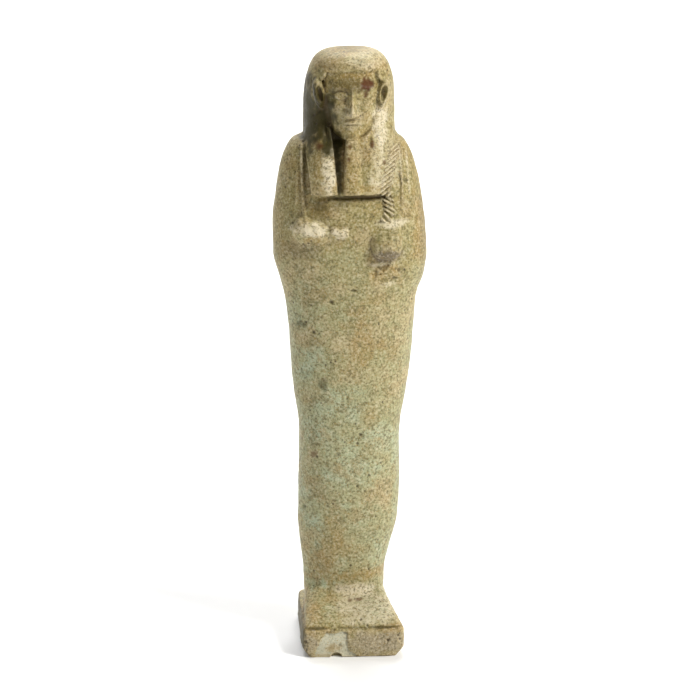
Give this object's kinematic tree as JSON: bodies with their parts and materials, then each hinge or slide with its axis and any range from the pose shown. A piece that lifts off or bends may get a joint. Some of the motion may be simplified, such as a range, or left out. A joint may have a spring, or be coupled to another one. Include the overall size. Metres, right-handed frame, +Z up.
{
  "type": "ushabti figurine",
  "caption": "Mummiform funerary figurine with wig, false beard and two hands holding tools at the chest, standing on a small plinth with a back pillar.",
  "frame": {"origin": "middle of the plinth's underside, at the foot of the bounding box", "axes": "+Z up along the figure's height, -Y the way the face looks, +X towards the figure's left hand"},
  "size_m": [0.0288, 0.023, 0.115],
  "materials": {
    "faience": "satin"
  },
  "bodies": {
    "root": {"figurine": "faience"}
  },
  "joints": []
}
